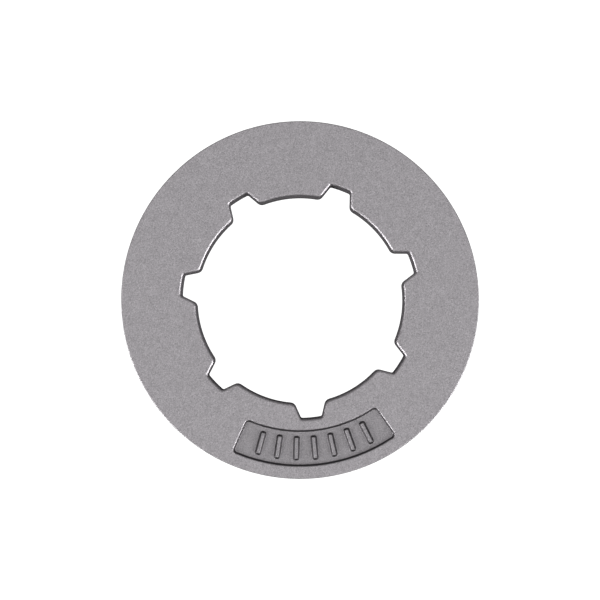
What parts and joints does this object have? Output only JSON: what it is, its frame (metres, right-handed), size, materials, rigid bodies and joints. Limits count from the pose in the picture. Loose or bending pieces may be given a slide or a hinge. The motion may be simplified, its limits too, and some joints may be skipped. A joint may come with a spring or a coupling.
{
  "type": "chainsaw rim sprocket",
  "caption": "One-piece rim sprocket that slides on the splined hub of a clutch drum and drives a saw chain",
  "frame": {"origin": "on the bore axis, on the plain lower face", "axes": "+Z runs along the bore axis out of the marked face; -Y points to the recessed panel and the tooth behind it"},
  "size_m": [0.0383, 0.0382, 0.011],
  "materials": {
    "blasted_steel": "hardened steel casting with a fine blasted grain, even mid grey, lightly worn at the edges"
  },
  "bodies": {
    "root": {"rim_sprocket": "blasted_steel"}
  },
  "joints": []
}
